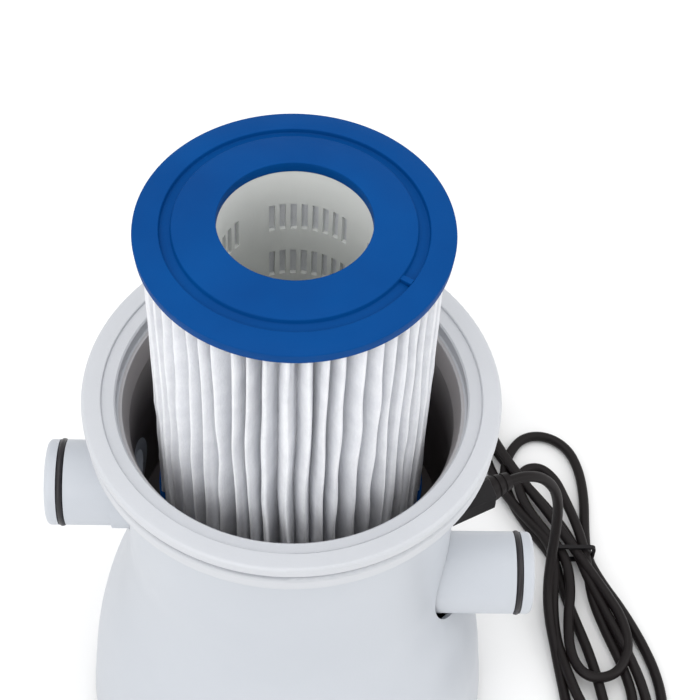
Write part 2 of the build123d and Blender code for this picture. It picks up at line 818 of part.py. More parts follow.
def vane_outline():
    """A backward-curved vane from inside the hub to just short of the disc's edge."""
    start = (impeller_hub - vane_thickness, 0)
    tip_radius = impeller_radius - vane_tip_inset
    tip = (tip_radius * cos(radians(vane_lean)), tip_radius * sin(radians(vane_lean)))
    with BuildSketch() as vane:
        with BuildLine() as centre_line:
            RadiusArc(start, tip, -tip_radius * 0.8)
        trace(centre_line.line, line_width=vane_thickness)
    return vane.sketch


# ---------------------------------------------------------------- motor
def winding_ring(inner_side, thickness, inner_end):
    """A rectangular ring round each pole, as far out as the ring core allows."""
    with BuildPart() as rings:
        for pole in range(pole_count):
            azimuth = pole * 360 / pole_count
            across = Plane(
                origin=at_radius(coil_inner_face, azimuth, core_bottom + core_height / 2),
                x_dir=(0, 0, 1),
                z_dir=at_radius(1.0, azimuth),
            )
            with BuildSketch(across):
                RectangleRounded(
                    2 * (inner_end + thickness), 2 * (inner_side + thickness), thickness * 0.8
                )
                Rectangle(2 * inner_end, 2 * inner_side, mode=Mode.SUBTRACT)
            extrude(amount=coil_outer_face - coil_inner_face)
    return rings.part


def make_motor():
    with BuildPart() as core:
        with BuildSketch(Plane.XY.offset(core_bottom)):
            Circle(core_outer_radius)
            Circle(ring_inner, mode=Mode.SUBTRACT)
            with PolarLocations((core_outer_radius + pole_inner) / 2 - 1, pole_count):
                Rectangle(core_outer_radius - pole_inner - 2, pole_width)
            with PolarLocations(pole_inner + pole_shoe / 2, pole_count):
                Rectangle(pole_shoe, pole_width * pole_shoe_spread)
            Circle(pole_inner, mode=Mode.SUBTRACT)
        extrude(amount=core_height)
    finish(core.part, "stator_core")

    core_half = core_height / 2
    bobbins = winding_ring(pole_half, bobbin_wall, core_half)
    finish(bobbins, "coil_bobbins")
    windings = winding_ring(pole_half + bobbin_wall, coil_thickness, core_half + bobbin_wall)
    finish(windings, "stator_windings")

    with BuildPart() as housing:
        with BuildSketch(Plane.XY.offset(housing_bottom)):
            Circle(core_outer_radius + housing_wall)
        extrude(amount=can_flange_bottom - housing_bottom)
        with BuildSketch(Plane.XY.offset(housing_flange_bottom)):
            Circle(can_flange_radius)
            with clamp_places():
                Circle(clamp_ear_radius)
            with clamp_places(can_flange_radius):
                Rectangle(2 * (clamp_circle - can_flange_radius), clamp_ear_radius * 2)
        extrude(amount=clamp_flange)
        with BuildSketch(Plane.XY.offset(housing_bottom + housing_wall)):
            Circle(core_outer_radius)
        extrude(amount=can_flange_bottom - housing_bottom - housing_wall, mode=Mode.SUBTRACT)
        with BuildSketch(Plane.XY.offset(housing_flange_bottom)):
            with clamp_places():
                Circle(screw_shank + screw_clearance)
        extrude(amount=clamp_flange, mode=Mode.SUBTRACT)
        with BuildSketch(radial_plane(core_outer_radius - lead_entry)):
            Circle(cord_diameter / 2)
        extrude(amount=2 * lead_entry + housing_wall, mode=Mode.SUBTRACT)
    finish(housing.part, "motor_housing")

    with BuildPart() as screws:
        with BuildSketch(Plane.XY.offset(housing_flange_bottom - screw_head_height)):
            with clamp_places():
                Circle(screw_head)
        extrude(amount=screw_head_height)
        with BuildSketch(Plane.XY.offset(housing_flange_bottom - screw_head_height)):
            with clamp_places():
                Rectangle(screw_slot_length, screw_slot_width)
        extrude(amount=screw_slot_depth, mode=Mode.SUBTRACT)
        with BuildSketch(Plane.XY.offset(housing_flange_bottom)):
            with clamp_places():
                Circle(screw_shank)
        extrude(amount=clamp_flange + clamp_screw_reach)
    finish(screws.part, "clamp_screws")


# ---------------------------------------------------------------- mains lead
boot_base = gland_wall_reach + gland_nut_length
boot_tip = boot_base + boot_length

# the cord from inside the boot, out and down to the floor, into the hank
cord_route = [
    at_radius(boot_tip - cord_inset, gland_azimuth, gland_height),
    Vector(101.9, 54.2, 90.0),
    Vector(114.2, 59.6, 83.4),
    Vector(122.6, 61.6, 71.2),
    Vector(126.4, 61.4, 56.4),
    Vector(127.0, 58.4, 40.6),
    Vector(126.0, 51.8, 25.2),
    Vector(124.8, 41.0, 12.8),
    Vector(125.4, 28.0, 7.4),
    Vector(127.0, 15.2, 6.3),
]

# plan outline of the hank, anticlockwise from its upper left
hank_outline = [
    (99.0, 137.0),
    (101.0, 112.0),
    (112.0, 86.0),
    (128.0, 66.0),
    (122.0, 42.0),
    (123.0, 8.0),
    (129.0, -28.0),
    (143.0, -58.0),
    (162.0, -60.0),
    (178.0, -36.0),
    (180.0, 2.0),
    (166.0, 38.0),
    (151.0, 66.0),
    (153.0, 100.0),
    (147.0, 132.0),
    (128.0, 144.0),
    (110.0, 145.0),
]
tie_middle = (139.5, 66.0)
tie_half_span = 11.6
plug_entry = (102.0, 139.0)
plug_azimuth = 126.0


def make_gland():
    bore = cord_diameter / 2
    pitch = boot_length / boot_rings
    clip_start = gland_wall_reach - gland_clip_start
    clip_end = gland_wall_reach - gland_clip_end
    clip_radius = gland_neck + gland_clip_width
    with BuildSketch(Plane.XZ) as half:
        with BuildLine():
            Polyline(
                (bore, clip_start),
                (clip_radius, clip_start),
                (clip_radius, clip_end),
                (gland_neck, clip_end),
                (gland_neck, boot_base),
                (boot_start, boot_base),
                (boot_end, boot_tip),
                (bore, boot_tip),
                close=True,
            )
        make_face()
        for ring in range(1, boot_rings):
            radius = boot_start - boot_taper * ring / boot_rings
            with Locations((radius, boot_base + ring * pitch)):
                Rectangle(2 * boot_ring_depth, boot_ring_width, mode=Mode.SUBTRACT)
    turned = revolve(half.sketch, axis=Axis.Z)
    along = Plane(
        origin=(0, 0, gland_height), x_dir=(0, 0, -1), z_dir=at_radius(1.0, gland_azimuth)
    )
    with BuildPart() as nut:
        with BuildSketch(radial_plane(nut_start)):
            RegularPolygon(nut_corner, 6)
            Circle(gland_neck, mode=Mode.SUBTRACT)
        extrude(amount=boot_base - nut_start)
        chamfer(nut.faces().sort_by(Axis.X)[-1].outer_wire().edges(), gland_edge)
    finish(along * turned, "cord_gland")
    finish(nut.part, "gland_nut")

    with BuildPart() as lead:
        with BuildSketch(radial_plane(core_outer_radius)):
            Circle(bore)
        extrude(amount=boot_tip - cord_inset - core_outer_radius)
    finish(lead.part, "inner_lead")


def corner_radii(route):
    """0.45 of the shorter run at each corner, over the tangent of half the turn."""
    radii = []
    for before, corner, after in zip(route, route[1:], route[2:]):
        run_in = corner - before
        run_out = after - corner
        turn = run_in.get_angle(run_out)
        radii.append(0.45 * min(run_in.length, run_out.length) / tan(radians(turn / 2)))
    return radii


def make_cord():
    radii = corner_radii(cord_route)
    print("cord radii", [round(radius, 1) for radius in radii])
    with BuildPart() as cord:
        with BuildLine() as path:
            FilletPolyline(*cord_route, radius=radii)
        with BuildSketch(Plane(origin=path.line @ 0, z_dir=path.line % 0)):
            Circle(cord_diameter / 2)
        sweep(path=path.line)
    length = path.wire().length
    expected = pi * (cord_diameter / 2) ** 2 * length
    print("cord length", round(length, 1))
    print("cord volume", round(cord.part.volume), "expected", round(expected))
    finish(cord.part, "power_cord")


def make_hank():
    tie_plane = Plane(
        origin=(*tie_middle, hank_height / 2), x_dir=(1, 0, 0), z_dir=(0, 1, 0)
    ).offset(-tie_width / 2)
    waist_width = 2 * (tie_half_span - tie_thickness)
    waist_height = hank_height - 2 * tie_thickness
    with BuildPart() as tie:
        with BuildSketch(tie_plane):
            RectangleRounded(2 * tie_half_span, hank_height, tie_rounding)
            RectangleRounded(waist_width, waist_height, tie_inner_rounding, mode=Mode.SUBTRACT)
        extrude(amount=tie_width)

    with BuildPart() as hank:
        with BuildSketch(Plane.XY):
            with BuildLine():
                Spline(*hank_outline, periodic=True)
            make_face()
        extrude(amount=hank_height)
        # the waist under the tie is pulled in
        with BuildSketch(tie_plane):
            Rectangle(6 * tie_half_span, 3 * hank_height)
            RectangleRounded(waist_width, waist_height, tie_inner_rounding, mode=Mode.SUBTRACT)
        extrude(amount=tie_width, mode=Mode.SUBTRACT)
    finish(hank.part, "cord_hank")
    finish(tie.part, "cord_tie")


def make_plug():
    entry = Plane(
        origin=(*plug_entry, plug_height / 2), x_dir=(0, 0, 1), z_dir=at_radius(1.0, plug_azimuth)
    )
    shoulder = entry.offset(plug_neck_share * plug_length)
    pin_face = entry.offset(plug_length)
    shoulder_height = plug_height - plug_shoulder_inset
    shoulder_width = plug_width - 2 * plug_shoulder_inset
    with BuildPart() as plug:
        with BuildSketch(entry):
            RectangleRounded(plug_neck_height, plug_neck_width, plug_neck_height * 0.4)
        with BuildSketch(shoulder):
            RectangleRounded(shoulder_height, shoulder_width, plug_rounding)
        loft()
        with BuildSketch(shoulder):
            RectangleRounded(shoulder_height, shoulder_width, plug_rounding)
        with BuildSketch(pin_face):
            RectangleRounded(plug_height, plug_width, plug_rounding)
        loft()
        with BuildSketch(pin_face):
            with GridLocations(0, pin_pitch, 1, 2):
                Circle(pin_radius)
        extrude(amount=-pin_root, mode=Mode.SUBTRACT)
    finish(plug.part, "plug_body")

    with BuildPart() as pins:
        with BuildSketch(pin_face.offset(-pin_root)):
            with GridLocations(0, pin_pitch, 1, 2):
                Circle(pin_radius)
        extrude(amount=pin_root + pin_length)
        tips = pins.faces().filter_by(GeomType.PLANE).group_by(Axis(pin_face.origin, pin_face.z_dir))
        fillet(tips[-1].edges(), pin_rounding)
    finish(pins.part, "plug_pins")


make_chamber()
make_shroud()
make_base()
make_caps()
make_cartridge()
make_seat()
make_volute()
make_seals()
make_rotor_can()
make_rotor()
make_motor()
make_gland()
make_cord()
make_hank()
make_plug()
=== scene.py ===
# Pool filter pump with its cartridge standing in the open chamber and its lead tied in a hank.
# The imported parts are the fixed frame. Pleats, caps, cord and finishes are made round them, in metres.
import math
import random

import bmesh
import bpy
from mathutils import Matrix, Vector


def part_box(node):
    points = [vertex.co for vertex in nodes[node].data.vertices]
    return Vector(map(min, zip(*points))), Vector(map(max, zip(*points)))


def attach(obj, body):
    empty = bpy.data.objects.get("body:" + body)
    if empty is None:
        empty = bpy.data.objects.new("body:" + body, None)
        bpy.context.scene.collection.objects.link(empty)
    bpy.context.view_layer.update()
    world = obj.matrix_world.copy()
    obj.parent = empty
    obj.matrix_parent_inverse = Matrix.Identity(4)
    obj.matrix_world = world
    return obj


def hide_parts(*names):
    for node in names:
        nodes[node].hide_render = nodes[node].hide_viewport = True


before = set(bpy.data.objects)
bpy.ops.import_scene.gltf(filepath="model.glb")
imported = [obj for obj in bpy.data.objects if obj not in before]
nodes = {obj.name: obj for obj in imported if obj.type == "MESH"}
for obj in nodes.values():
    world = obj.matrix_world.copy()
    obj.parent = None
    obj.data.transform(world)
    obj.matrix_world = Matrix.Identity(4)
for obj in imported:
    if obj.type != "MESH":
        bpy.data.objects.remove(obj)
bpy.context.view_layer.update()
print("frame loaded:", len(nodes), "nodes")

# the camera
cameraSettings = {
    "place": (0.0, -0.388, 0.7429),
    "pitch": 51.74,  # degrees below the horizon
    "yaw": 3.03,
    "roll": 3.26,
    "lens": 89.5,
}


def addCamera(settings):
    pitch, yaw, roll = (math.radians(settings[key]) for key in ("pitch", "yaw", "roll"))
    forward = Vector(
        (math.sin(yaw) * math.cos(pitch), math.cos(yaw) * math.cos(pitch), -math.sin(pitch))
    )
    level = Vector((math.cos(yaw), -math.sin(yaw), 0.0))
    upright = level.cross(forward)
    right = level * math.cos(roll) + upright * math.sin(roll)
    up = upright * math.cos(roll) - level * math.sin(roll)
    turn = Matrix((right, up, -forward)).transposed().to_4x4()
    camera = bpy.data.objects.new("camera", bpy.data.cameras.new("camera"))
    bpy.context.scene.collection.objects.link(camera)
    camera.matrix_world = Matrix.Translation(settings["place"]) @ turn
    camera.data.lens = settings["lens"]
    camera.data.clip_start = 0.01
    camera.data.clip_end = 20.0
    bpy.context.scene.camera = camera


addCamera(cameraSettings)
print("camera placed")


# materials are built from nodes by these two classes
class Wire:  # a socket that takes part in sums
    def __init__(self, finish, socket):
        self.finish = finish
        self.socket = socket

    def maths(self, operation, first, second=0.0):
        return self.finish.node("ShaderNodeMath", {"operation": operation}, {0: first, 1: second})

    def __add__(self, other):
        return self.maths("ADD", self, other)

    def __sub__(self, other):
        return self.maths("SUBTRACT", self, other)

    def __mul__(self, other):
        return self.maths("MULTIPLY", self, other)

    def __pow__(self, other):
        return self.maths("POWER", self, other)


class Finish:  # one material, its nodes all made by node()
    def __init__(self, name):
        self.material = bpy.data.materials.new(name)
        self.material.use_nodes = True
        self.tree = self.material.node_tree
        self.shader = self.tree.nodes["Principled BSDF"]

    def node(self, kind, settings=None, sockets=None, output=0):
        made = self.tree.nodes.new(kind)
        for key, value in (settings or {}).items():
            setattr(made, key, value)
        for key, value in (sockets or {}).items():
            self.plug(made.inputs[key], value)
        return Wire(self, made.outputs[output])

    def plug(self, socket, value):
        if isinstance(value, Wire):
            self.tree.links.new(value.socket, socket)
        else:
            socket.default_value = value

    def shade(self, **values):
        for key, value in values.items():
            self.plug(self.shader.inputs[key.replace("_", " ")], value)

    def place(self):
        return self.node("ShaderNodeTexCoord", output="Object")

    def axes(self):
        split = self.node("ShaderNodeSeparateXYZ", sockets={0: self.place()})
        return [Wire(self, socket) for socket in split.socket.node.outputs]

    def noise(self, scale, detail=3.0, vector=None, roughness=0.5):
        return self.node(
            "ShaderNodeTexNoise",
            sockets={
                "Vector": vector or self.place(),
                "Scale": scale,
                "Detail": detail,
                "Roughness": roughness,
            },
        )

    def mixColour(self, share, first, second):
        return self.node(
            "ShaderNodeMix", {"data_type": "RGBA"}, {0: share, 6: first, 7: second}, output=2
        )

    def between(self, value, low, high, toLow=0.0, toHigh=1.0):
        return self.node(
            "ShaderNodeMapRange",
            sockets={"Value": value, 1: low, 2: high, 3: toLow, 4: toHigh},
        )

    def bump(self, height, distance):
        return self.node("ShaderNodeBump", sockets={"Height": height, "Distance": distance})


def rgb(red, green, blue):
    return (red, green, blue, 1.0)


# every finish by its name
finishes = {}
plasticGrain = 0.00006


def mouldedPlastic(name, colour, shadeColour, roughness, specular=0.5, depth=0.0):
    finish = Finish(name)
    cloud = finish.noise(9.0, 4.0)
    fine = finish.noise(900.0, 2.0)
    flow = finish.noise(60.0, 3.0)
    tone = finish.between(cloud * 0.7 + flow * 0.3, 0.35, 0.65)
    finish.shade(
        Base_Color=finish.mixColour(tone, shadeColour, colour),
        Roughness=finish.between(flow, 0.3, 0.7, roughness - 0.05, roughness + 0.06),
        Normal=finish.bump(fine * 0.6 + flow * 0.4, plasticGrain),
        Specular_IOR_Level=specular,
        Subsurface_Weight=depth,
        Subsurface_Radius=(0.004, 0.004, 0.004),
        Subsurface_Scale=1.0,
    )
    finishes[name] = finish.material


# the housing's plastic, with painted shade inside the chamber below its mouth that grows darker towards
# the chamber floor
chamberPaintedShade = {
    "top": 0.2215,
    "bottom": 0.184,
    "fade": 0.004,
    "wander": 0.01,
    "reach": 0.0645,
    "edge": 0.0003,
    # colours of the painted shade on the chamber wall, near the mouth and lower down
    "upper": rgb(0.420, 0.395, 0.395),
    "lower": rgb(0.100, 0.086, 0.086),
}


def chamberPlastic(name):
    finish = Finish(name)
    cloud = finish.noise(9.0, 4.0)
    fine = finish.noise(900.0, 2.0)
    flow = finish.noise(60.0, 3.0)
    across, along, height = finish.axes()
    reach = (across * across + along * along) ** 0.5
    wall = chamberPaintedShade["reach"]
    top = chamberPaintedShade["top"]
    level = height + (cloud - 0.5) * chamberPaintedShade["wander"]
    # masks for the painted shade: the chamber's inner wall, below its mouth
    inside = finish.between(reach, wall, wall + chamberPaintedShade["edge"], 1.0, 0.0)
    below = finish.between(height, top - chamberPaintedShade["fade"], top, 1.0, 0.0)
    deep = finish.between(level, chamberPaintedShade["bottom"], top, 1.0, 0.0)
    # painted shade: the inner wall darkens with depth, standing in for the shade inside the deep chamber
    paintedShade = finish.mixColour(deep, chamberPaintedShade["upper"], chamberPaintedShade["lower"])
    unshadedPlastic = finish.mixColour(
        finish.between(cloud * 0.7 + flow * 0.3, 0.35, 0.65),
        rgb(0.525, 0.540, 0.570),
        rgb(0.555, 0.570, 0.600),
    )
    finish.shade(
        Base_Color=finish.mixColour(inside * below, unshadedPlastic, paintedShade),
        Roughness=finish.between(flow, 0.3, 0.7, 0.35, 0.46),
        Normal=finish.bump(fine * 0.6 + flow * 0.4, plasticGrain),
    )
    finishes[name] = finish.material


def castBlue(name):
    finish = Finish(name)
    cloud = finish.noise(26.0, 4.0)
    layered = {"Vector": finish.place(), "Scale": (1.0, 1.0, 6.0)}
    streak = finish.noise(70.0, 3.0, finish.node("ShaderNodeMapping", sockets=layered))
    pits = finish.noise(1500.0, 2.0)
    finish.shade(
        Base_Color=finish.mixColour(
            finish.between(cloud, 0.3, 0.7), rgb(0.0, 0.048, 0.205), rgb(0.0, 0.059, 0.240)
        ),
        Roughness=finish.between(streak, 0.3, 0.7, 0.46, 0.6),
        Normal=finish.bump(pits * 0.4 + streak * 0.6, 0.00008),
        Specular_IOR_Level=0.06,
    )
    finishes[name] = finish.material


def filterPaper(name):
    finish = Finish(name)
    place = finish.place()
    fibreWay = finish.node("ShaderNodeMapping", sockets={"Vector": place, "Scale": (1.0, 1.0, 0.35)})
    fibres = finish.noise(1400.0, 5.0, fibreWay, 0.65)
    blots = finish.noise(120.0, 3.0, place)
    finish.shade(
        Base_Color=finish.mixColour(
            finish.between(blots * 0.6 + fibres * 0.4, 0.35, 0.65),
            rgb(0.66, 0.672, 0.705),
            rgb(0.76, 0.772, 0.80),
        ),
        Roughness=finish.between(fibres, 0.3, 0.7, 0.78, 0.92),
        Normal=finish.bump(fibres, 0.00012),
        Specular_IOR_Level=0.2,
        Subsurface_Weight=0.35,
        Subsurface_Radius=(0.003, 0.003, 0.0032),
        Subsurface_Scale=1.0,
    )
    finishes[name] = finish.material


def rubber(name, colour, roughness, scuff=0.02, sheen=0.35):
    finish = Finish(name)
    dust = finish.noise(45.0, 5.0)
    fine = finish.noise(1300.0, 3.0)
    lighter = rgb(colour[0] + scuff, colour[1] + scuff * 0.9, colour[2] + scuff * 0.9)
    finish.shade(
        Base_Color=finish.mixColour(finish.between(dust, 0.45, 0.75), rgb(*colour), lighter),
        Roughness=finish.between(dust, 0.3, 0.7, roughness - 0.06, roughness + 0.08),
        Normal=finish.bump(fine, 0.00004),
        Specular_IOR_Level=sheen,
    )
    finishes[name] = finish.material


def metal(name, colour, roughness, stretch=(1.0, 1.0, 1.0), scale=900.0):
    finish = Finish(name)
    way = finish.node("ShaderNodeMapping", sockets={"Vector": finish.place(), "Scale": stretch})
    brushed = finish.noise(scale, 3.0, way)
    finish.shade(
        Base_Color=finish.mixColour(
            finish.between(brushed, 0.3, 0.7), rgb(*[part * 0.85 for part in colour]), rgb(*colour)
        ),
        Metallic=1.0,
        Roughness=finish.between(brushed, 0.3, 0.7, roughness - 0.06, roughness + 0.1),
        Normal=finish.bump(brushed, 0.00002),
    )
    finishes[name] = finish.material


mouldedPlastic("palePlastic", rgb(0.520, 0.545, 0.585), rgb(0.490, 0.517, 0.560), 0.40, depth=0.04)
mouldedPlastic("innerPlastic", rgb(0.020, 0.021, 0.023), rgb(0.014, 0.015, 0.016), 0.45)
mouldedPlastic("coreWhite", rgb(0.760, 0.770, 0.745), rgb(0.720, 0.735, 0.715), 0.38, depth=0.10)
mouldedPlastic("bushPlastic", rgb(0.085, 0.072, 0.060), rgb(0.060, 0.052, 0.045), 0.5)
mouldedPlastic("plugBlack", rgb(0.007, 0.006, 0.007), rgb(0.005, 0.004, 0.005), 0.5, specular=0.25)
chamberPlastic("chamberPlastic")
castBlue("castBlue")
filterPaper("filterPaper")
rubber("sealRubber", (0.010, 0.009, 0.012), 0.38)
rubber("footRubber", (0.022, 0.022, 0.023), 0.7)
rubber("cordSheath", (0.0062, 0.0040, 0.0042), 0.5, 0.003, 0.22)
metal("screwSteel", (0.60, 0.60, 0.61), 0.28)
metal("shaftSteel", (0.66, 0.66, 0.68), 0.18, (1.0, 1.0, 0.1))
metal("coreSteel", (0.30, 0.31, 0.33), 0.45, (0.05, 0.05, 6.0), 500.0)
metal("magnetGrey", (0.055, 0.055, 0.060), 0.55)
metal("copperWire", (0.62, 0.25, 0.10), 0.32, (1.0, 1.0, 8.0), 600.0)
metal("pinNickel", (0.68, 0.66, 0.60), 0.22)
print("finishes made:", len(finishes))

nodeFinish = {
    "chamberPlastic": ["filter_chamber"],
    "palePlastic": [
        "inlet_port", "outer_shroud", "volute_casing", "base_plate", "cartridge_seat",
    ],
    "innerPlastic": ["rotor_can", "bearing_plate", "impeller", "coil_bobbins", "motor_housing"],
    "castBlue": ["top_cap", "bottom_cap"],
    "coreWhite": ["core_tube"],
    "filterPaper": ["pleated_media"],
    "sealRubber": ["inlet_o_ring", "outlet_o_ring", "casing_seal"],
    "footRubber": ["rubber_feet"],
    "bushPlastic": ["lower_bush", "upper_bush"],
    "cordSheath": ["cord_gland", "inner_lead", "power_cord", "cord_hank"],
    "plugBlack": ["plug_body", "cord_tie", "gland_nut"],
    "screwSteel": ["base_screws", "clamp_screws"],
    "shaftSteel": ["rotor_shaft"],
    "magnetGrey": ["rotor_magnet"],
    "coreSteel": ["stator_core"],
    "copperWire": ["stator_windings"],
    "pinNickel": ["plug_pins"],
}


def paint(thing, name):
    thing.data.materials.clear()
    thing.data.materials.append(finishes[name])


for finishName, members in nodeFinish.items():
    for member in members:
        paint(nodes[member], finishName)


# meshes and how they join the frame
def settle(mesh, name, finishName, body):
    data = bpy.data.meshes.new(name)
    mesh.to_mesh(data)
    mesh.free()
    thing = bpy.data.objects.new(name, data)
    bpy.context.scene.collection.objects.link(thing)
    for face in data.polygons:
        face.use_smooth = True
    paint(thing, finishName)
    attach(thing, body)
    return thing


def turned(outline, steps, edge=0.0, edgeSteps=3):
    # a closed outline of (radius, height), spun about the chamber's axis, its corners eased
    mesh = bmesh.new()
    corners = [mesh.verts.new((radius, 0.0, height)) for radius, height in outline]
    edges = [
        mesh.edges.new((corners[index - 1], corners[index])) for index in range(len(corners))
    ]
    bmesh.ops.spin(
        mesh,
        geom=corners + edges,
        cent=(0, 0, 0),
        axis=(0, 0, 1),
        angle=math.tau,
        steps=steps,
        use_merge=True,
    )
    bmesh.ops.remove_doubles(mesh, verts=mesh.verts, dist=1e-6)
    bmesh.ops.recalc_face_normals(mesh, faces=mesh.faces)
    if edge:
        sharp = [e for e in mesh.edges if e.calc_face_angle(0.0) > math.radians(25)]
        bmesh.ops.bevel(
            mesh,
            geom=sharp,
            offset=edge,
            affect="EDGES",
            segments=edgeSteps,
            profile=0.5,
            material=-1,
        )
    return mesh


def sharpen(thing, degrees=40.0):
    data = thing.data
    mesh = bmesh.new()
    mesh.from_mesh(data)
    for edge in mesh.edges:
        edge.smooth = edge.calc_face_angle(0.0) < math.radians(degrees)
    mesh.to_mesh(data)
    mesh.free()


# the cartridge's two caps, in metres
capPiece = {
    "grooveInner": 0.0409,
    "grooveOuter": 0.0451,
    "grooveDepth": 0.0019,
    "grooveSlope": 0.0003,
    "rimSlope": 0.0004,
    "hole": 0.0261,
    "dome": 0.004,  # the top's rise from its edge to its hole
    "socket": 0.0285,
    "socketLip": 0.0046,
    "edge": 0.00045,
    "steps": 160,
    "bridgeAzimuth": -32.0,  # degrees, the small block across the groove
    "bridgeWidth": 0.0022,
    "bridgeSunk": 0.62,  # of the groove's depth
    "bridgeEdge": 0.0002,
}


def makeTopCap():
    low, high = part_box("top_cap")
    radius = high.x
    hole = capPiece["hole"]
    inner = capPiece["grooveInner"]
    outer = capPiece["grooveOuter"]
    depth = capPiece["grooveDepth"]
    slope = capPiece["grooveSlope"]
    lip = high.z - capPiece["socketLip"]

    def top(reach):
        return high.z - capPiece["dome"] * (reach - hole) / (radius - hole)

    outline = [
        (hole, lip),
        (capPiece["socket"], lip),
        (capPiece["socket"], low.z),
        (radius - capPiece["rimSlope"], low.z),
        (radius, top(radius)),
        (outer, top(outer)),
        (outer - slope, top(outer) - depth),
        (inner + slope, top(inner) - depth),
        (inner, top(inner)),
        (hole, high.z),
    ]
    mesh = turned(outline, capPiece["steps"], capPiece["edge"])
    middle = (inner + outer) / 2
    turn = Matrix.Rotation(math.radians(capPiece["bridgeAzimuth"]), 4, "Z")
    shape = Matrix.Diagonal((outer - inner, capPiece["bridgeWidth"], depth, 1.0))
    place = Matrix.Translation((middle, 0.0, top(middle) - depth * capPiece["bridgeSunk"]))
    block = bmesh.ops.create_cube(mesh, size=1.0, matrix=turn @ place @ shape)["verts"]
    blockEdges = list({edge for corner in block for edge in corner.link_edges})
    bmesh.ops.bevel(
        mesh,
        geom=blockEdges,
        offset=capPiece["bridgeEdge"],
        affect="EDGES",
        segments=2,
        profile=0.5,
        material=-1,
    )
    cap = settle(mesh, "blueTopCap", "castBlue", "cartridge")
    sharpen(cap)
    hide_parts("top_cap")


def makeBottomCap():
    low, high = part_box("bottom_cap")
    hole = capPiece["hole"]
    outline = [(hole, low.z), (high.x, low.z), (high.x, high.z), (hole, high.z)]
    mesh = turned(outline, capPiece["steps"], capPiece["edge"])
    cap = settle(mesh, "blueBottomCap", "castBlue", "cartridge")
    sharpen(cap)
    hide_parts("bottom_cap")


makeTopCap()
makeBottomCap()
print("caps made")

# the cartridge's pleated paper, in metres
paperPiece = {
    "count": 51,
    "depth": 0.0088,
    "clearance": 0.0003,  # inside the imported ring's outer wall
    "ridgeInset": 0.0006,
    "wander": 0.16,  # of a pleat's own width
    "held": 0.35,  # how much of the wander is left at the caps
    "uneven": 0.10,  # of a pleat's own width, from ridge to ridge
    "rows": 34,
    "inner": 0.02795,
    "seed": 7,
    # places across a pleat, from one ridge to the next, and how far in each lies
    "fold": [
        (0.0, 0.0), (0.05, 0.012), (0.11, 0.06), (0.19, 0.19), (0.29, 0.43), (0.39, 0.74), (0.46, 0.94),
    ],
}


def paperFold():
    half = paperPiece["fold"]
    mirrored = [(1.0 - across, inwards) for across, inwards in reversed(half[1:])]
    return half + [(0.5, 1.0)] + mirrored


def between(first, second, share):
    return first * (1 - share) + second * share


def makePaper():
    low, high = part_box("pleated_media")
    draw = random.Random(paperPiece["seed"])
    count = paperPiece["count"]
    width = math.tau / count
    fold = paperFold()
    outer = high.x - paperPiece["clearance"]

    def wave(reach):
        return [
            (reach * draw.uniform(0.3, 1.0), draw.uniform(0.6, 1.4) * turns, draw.uniform(0, math.tau))
            for turns in (0.8, 1.7, 3.1)
        ]

    ridges = [
        {
            "shift": draw.gauss(0.0, paperPiece["uneven"]),
            "sway": wave(paperPiece["wander"]),
            "pull": wave(paperPiece["ridgeInset"]),
            "depth": draw.uniform(0.8, 1.15),
        }
        for _ in range(count)
    ]

    def swayed(waves, share):
        return sum(
            size * math.sin(turns * math.tau * share + phase) / (1 + order)
            for order, (size, turns, phase) in enumerate(waves)
        )

    def shifted(ridge, share):
        held = paperPiece["held"]
        calm = held + (1.0 - held) * math.sin(math.pi * min(max(share, 0.0), 1.0))
        return ridge["shift"] + swayed(ridge["sway"], share) * calm

    def pulled(ridge, share):
        return abs(swayed(ridge["pull"], share))

    mesh = bmesh.new()
    segments = count * len(fold)
    bmesh.ops.create_circle(mesh, segments=segments, radius=outer)
    for corner in mesh.verts:
        corner.co.z = low.z
    ring = list(mesh.edges)
    tall = high.z - low.z
    step = tall / paperPiece["rows"]
    for _ in range(paperPiece["rows"]):
        grown = bmesh.ops.extrude_edge_only(mesh, edges=ring)["geom"]
        ring = [item for item in grown if isinstance(item, bmesh.types.BMEdge)]
        lifted = [item for item in grown if isinstance(item, bmesh.types.BMVert)]
        bmesh.ops.translate(mesh, verts=lifted, vec=(0.0, 0.0, step))

    # across both ends and down the plain inner wall against the core
    narrow = paperPiece["inner"] / outer
    for scale, drop in ((narrow, 0.0), (1.0, -tall), (1.0 / narrow, 0.0)):
        grown = bmesh.ops.extrude_edge_only(mesh, edges=ring)["geom"]
        ring = [item for item in grown if isinstance(item, bmesh.types.BMEdge)]
        moved = [item for item in grown if isinstance(item, bmesh.types.BMVert)]
        bmesh.ops.scale(mesh, verts=moved, vec=(scale, scale, 1.0))
        bmesh.ops.translate(mesh, verts=moved, vec=(0.0, 0.0, drop))
    bmesh.ops.remove_doubles(mesh, verts=mesh.verts, dist=1e-6)

    halfway = (outer + paperPiece["inner"]) / 2
    for corner in [vertex for vertex in mesh.verts if vertex.co.xy.length > halfway]:
        azimuth = math.atan2(corner.co.y, corner.co.x) % math.tau
        index = round(azimuth / math.tau * segments) % segments
        pleat, place = divmod(index, len(fold))
        across, inwards = fold[place]
        share = (corner.co.z - low.z) / tall
        here = ridges[pleat]
        after = ridges[(pleat + 1) % count]
        shift = between(shifted(here, share), shifted(after, share), across)
        pull = between(pulled(here, share), pulled(after, share), across)
        depth = paperPiece["depth"] * between(here["depth"], after["depth"], across)
        turn = (pleat + across + shift) * width
        radius = outer - pull - inwards * depth
        corner.co.x = radius * math.cos(turn)
        corner.co.y = radius * math.sin(turn)

    bmesh.ops.recalc_face_normals(mesh, faces=mesh.faces)
    paper = settle(mesh, "pleatedPaper", "filterPaper", "cartridge")
    sharpen(paper, 80.0)
    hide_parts("pleated_media")


makePaper()
print("pleats folded")

